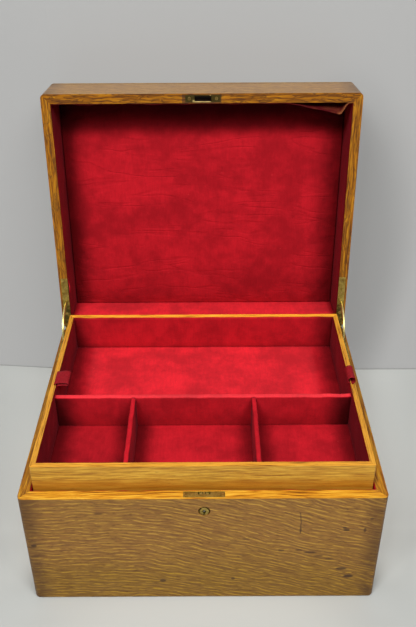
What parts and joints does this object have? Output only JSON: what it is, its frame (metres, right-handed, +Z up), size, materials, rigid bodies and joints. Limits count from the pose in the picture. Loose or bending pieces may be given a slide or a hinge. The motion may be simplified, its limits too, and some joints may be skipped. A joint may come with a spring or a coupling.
{
  "type": "silverware chest",
  "caption": "Rectangular oak silverware chest with a lined hinged lid on quadrant stays, a lift-out divided tray, a lined well and a mortise lock.",
  "frame": {"origin": "middle of the underside of the base", "axes": "+X to the chest's right as seen from the front, +Y from the front to the hinged back, +Z up"},
  "size_m": [0.432, 0.4663, 0.5328],
  "materials": {
    "oak_case": "quartersawn oak under worn satin varnish",
    "oak_tray": "golden oak under satin varnish",
    "oak_inside": "plain oak, unvarnished",
    "red_velvet": "short red velvet pile",
    "red_ribbon": "red woven ribbon",
    "aged_brass": "brass, dulled with age",
    "polished_brass": "brass polished by sliding",
    "steel": "plain steel"
  },
  "bodies": {
    "base": {"front_board": "oak_case", "back_board": "oak_case", "left_board": "oak_case", "right_board": "oak_case", "bottom_board": "oak_inside", "well_floor_lining": "red_velvet", "well_lining_front": "red_velvet", "well_lining_back": "red_velvet", "well_lining_left": "red_velvet", "well_lining_right": "red_velvet", "tray_cleats": "oak_inside", "cleat_screws": "steel", "base_hinge_leaf_left": "aged_brass", "base_hinge_leaf_right": "aged_brass", "base_hinge_screws": "aged_brass", "hinge_pins": "aged_brass", "lock_case": "aged_brass", "lock_cap": "aged_brass", "lock_selvedge": "aged_brass", "lock_screws": "aged_brass", "lock_nozzle": "aged_brass", "drill_pin": "steel", "claw_pins": "steel"},
    "lid": {"lid_front_rail": "oak_case", "lid_back_rail": "oak_case", "lid_left_rail": "oak_case", "lid_right_rail": "oak_case", "lid_top_board": "oak_case", "lid_lining_front": "red_velvet", "lid_lining_back": "red_velvet", "lid_lining_left": "red_velvet", "lid_lining_right": "red_velvet", "lid_pad": "red_velvet", "lid_hinge_leaf_left": "aged_brass", "lid_hinge_leaf_right": "aged_brass", "lid_hinge_screws": "aged_brass", "strike_plate": "aged_brass", "strike_screws": "aged_brass"},
    "tray": {"tray_front_wall": "oak_tray", "tray_back_wall": "oak_tray", "tray_left_wall": "oak_tray", "tray_right_wall": "oak_tray", "tray_bottom": "oak_inside", "long_divider": "oak_inside", "short_divider_left": "oak_inside", "short_divider_right": "oak_inside", "divider_covers": "red_velvet", "tray_wall_linings": "red_velvet", "tray_floor_linings": "red_velvet", "ribbon_tail_left": "red_ribbon", "ribbon_tail_right": "red_ribbon"},
    "stay_left": {"hinge_stay_left": "polished_brass"},
    "stay_right": {"hinge_stay_right": "polished_brass"},
    "claw_left": {"claw_left": "aged_brass"},
    "claw_right": {"claw_right": "aged_brass"},
    "loop_left": {"ribbon_loop_left": "red_ribbon"},
    "loop_right": {"ribbon_loop_right": "red_ribbon"}
  },
  "joints": [
    {"name": "lid_hinge", "type": "hinge", "parent": "base", "child": "lid", "pos_m": [0, 0.1783, 0.18015], "axis": [-1, 0, 0], "range_deg": [-95.5, 0]},
    {"name": "stay_left_slide", "type": "hinge", "parent": "base", "child": "stay_left", "pos_m": [0, 0.1783, 0.18015], "axis": [-1, 0, 0], "range_deg": [-47.75, 0]},
    {"name": "stay_right_slide", "type": "hinge", "parent": "base", "child": "stay_right", "pos_m": [0, 0.1783, 0.18015], "axis": [-1, 0, 0], "range_deg": [-47.75, 0]},
    {"name": "tray_lift", "type": "slide", "parent": "base", "child": "tray", "axis": [0, 0, 1], "range_m": [0, 0.11]},
    {"name": "claw_left_hook", "type": "hinge", "parent": "base", "child": "claw_left", "pos_m": [-0.015, -0.1673, 0.173], "axis": [0, -1, 0], "range_deg": [0, 50]},
    {"name": "claw_right_hook", "type": "hinge", "parent": "base", "child": "claw_right", "pos_m": [0.018, -0.1673, 0.173], "axis": [0, -1, 0], "range_deg": [-50, 0]},
    {"name": "ribbon_left_fold", "type": "hinge", "parent": "tray", "child": "loop_left", "pos_m": [-0.1939, 0.0041, 0.2173], "axis": [0, -1, 0], "range_deg": [0, 105]},
    {"name": "ribbon_right_fold", "type": "hinge", "parent": "tray", "child": "loop_right", "pos_m": [0.1939, 0.0041, 0.2173], "axis": [0, -1, 0], "range_deg": [0, 105]}
  ],
  "couplings": [
    {"joint": "stay_left_slide", "follows": "lid_hinge", "ratio": 0.5},
    {"joint": "stay_right_slide", "follows": "lid_hinge", "ratio": 0.5},
    {"joint": "claw_right_hook", "follows": "claw_left_hook", "ratio": -1}
  ]
}
